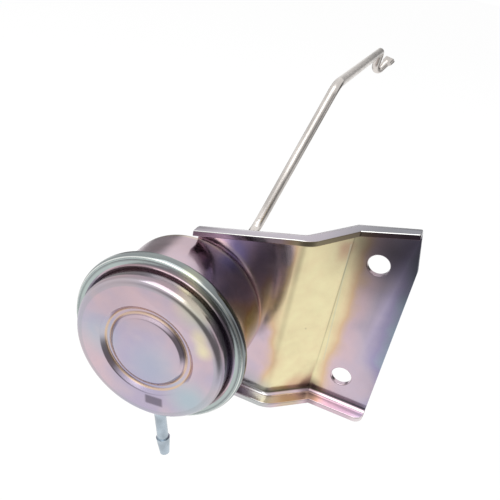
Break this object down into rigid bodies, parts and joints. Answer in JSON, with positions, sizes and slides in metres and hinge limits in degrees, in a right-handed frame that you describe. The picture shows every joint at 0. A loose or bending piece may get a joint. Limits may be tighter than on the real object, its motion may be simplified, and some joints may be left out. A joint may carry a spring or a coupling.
{
  "type": "wastegate actuator",
  "caption": "Round pressed actuator can with a crimped rim and hose nipple, a folded mounting bracket and a long cranked rod with a hooked end.",
  "frame": {"origin": "midway between the two bracket holes, on the bracket's rear seating face", "axes": "+Y out of the seating face, the way the rod strokes out; +X from the can to the bracket's free edge; +Z along the line through both holes, to the side where the rod is cranked"},
  "size_m": [0.115, 0.2757, 0.1252],
  "materials": {
    "passivated_zinc": "glossy iridescent passivated zinc plating on pressed steel",
    "plain_steel": "satin bright zinc plated steel",
    "rod_steel": "drawn bright steel bar",
    "spring_steel": "oiled spring wire",
    "bronze": "sintered bronze",
    "black_rubber": "matt black moulded rubber"
  },
  "bodies": {
    "can": {"rear_housing": "passivated_zinc", "front_cap": "passivated_zinc", "hose_nipple": "plain_steel", "diaphragm": "black_rubber", "spring": "spring_steel", "spring_seat": "plain_steel", "guide_bush": "bronze", "wiper_seal": "black_rubber", "seal_retainer": "plain_steel", "bracket": "passivated_zinc", "upper_stud": "plain_steel", "lower_stud": "plain_steel", "upper_washer": "plain_steel", "lower_washer": "plain_steel", "upper_nut": "plain_steel", "lower_nut": "plain_steel"},
    "rod": {"rod": "rod_steel", "head_washer": "plain_steel", "front_plate": "plain_steel", "piston_cup": "plain_steel"}
  },
  "joints": [
    {"name": "rod_slide", "type": "slide", "parent": "can", "child": "rod", "axis": [0, 1, 0], "range_m": [0, 0.012], "stiffness_N_per_m": 4000, "springref_m": -0.012, "deforming": ["spring", "diaphragm"]}
  ]
}
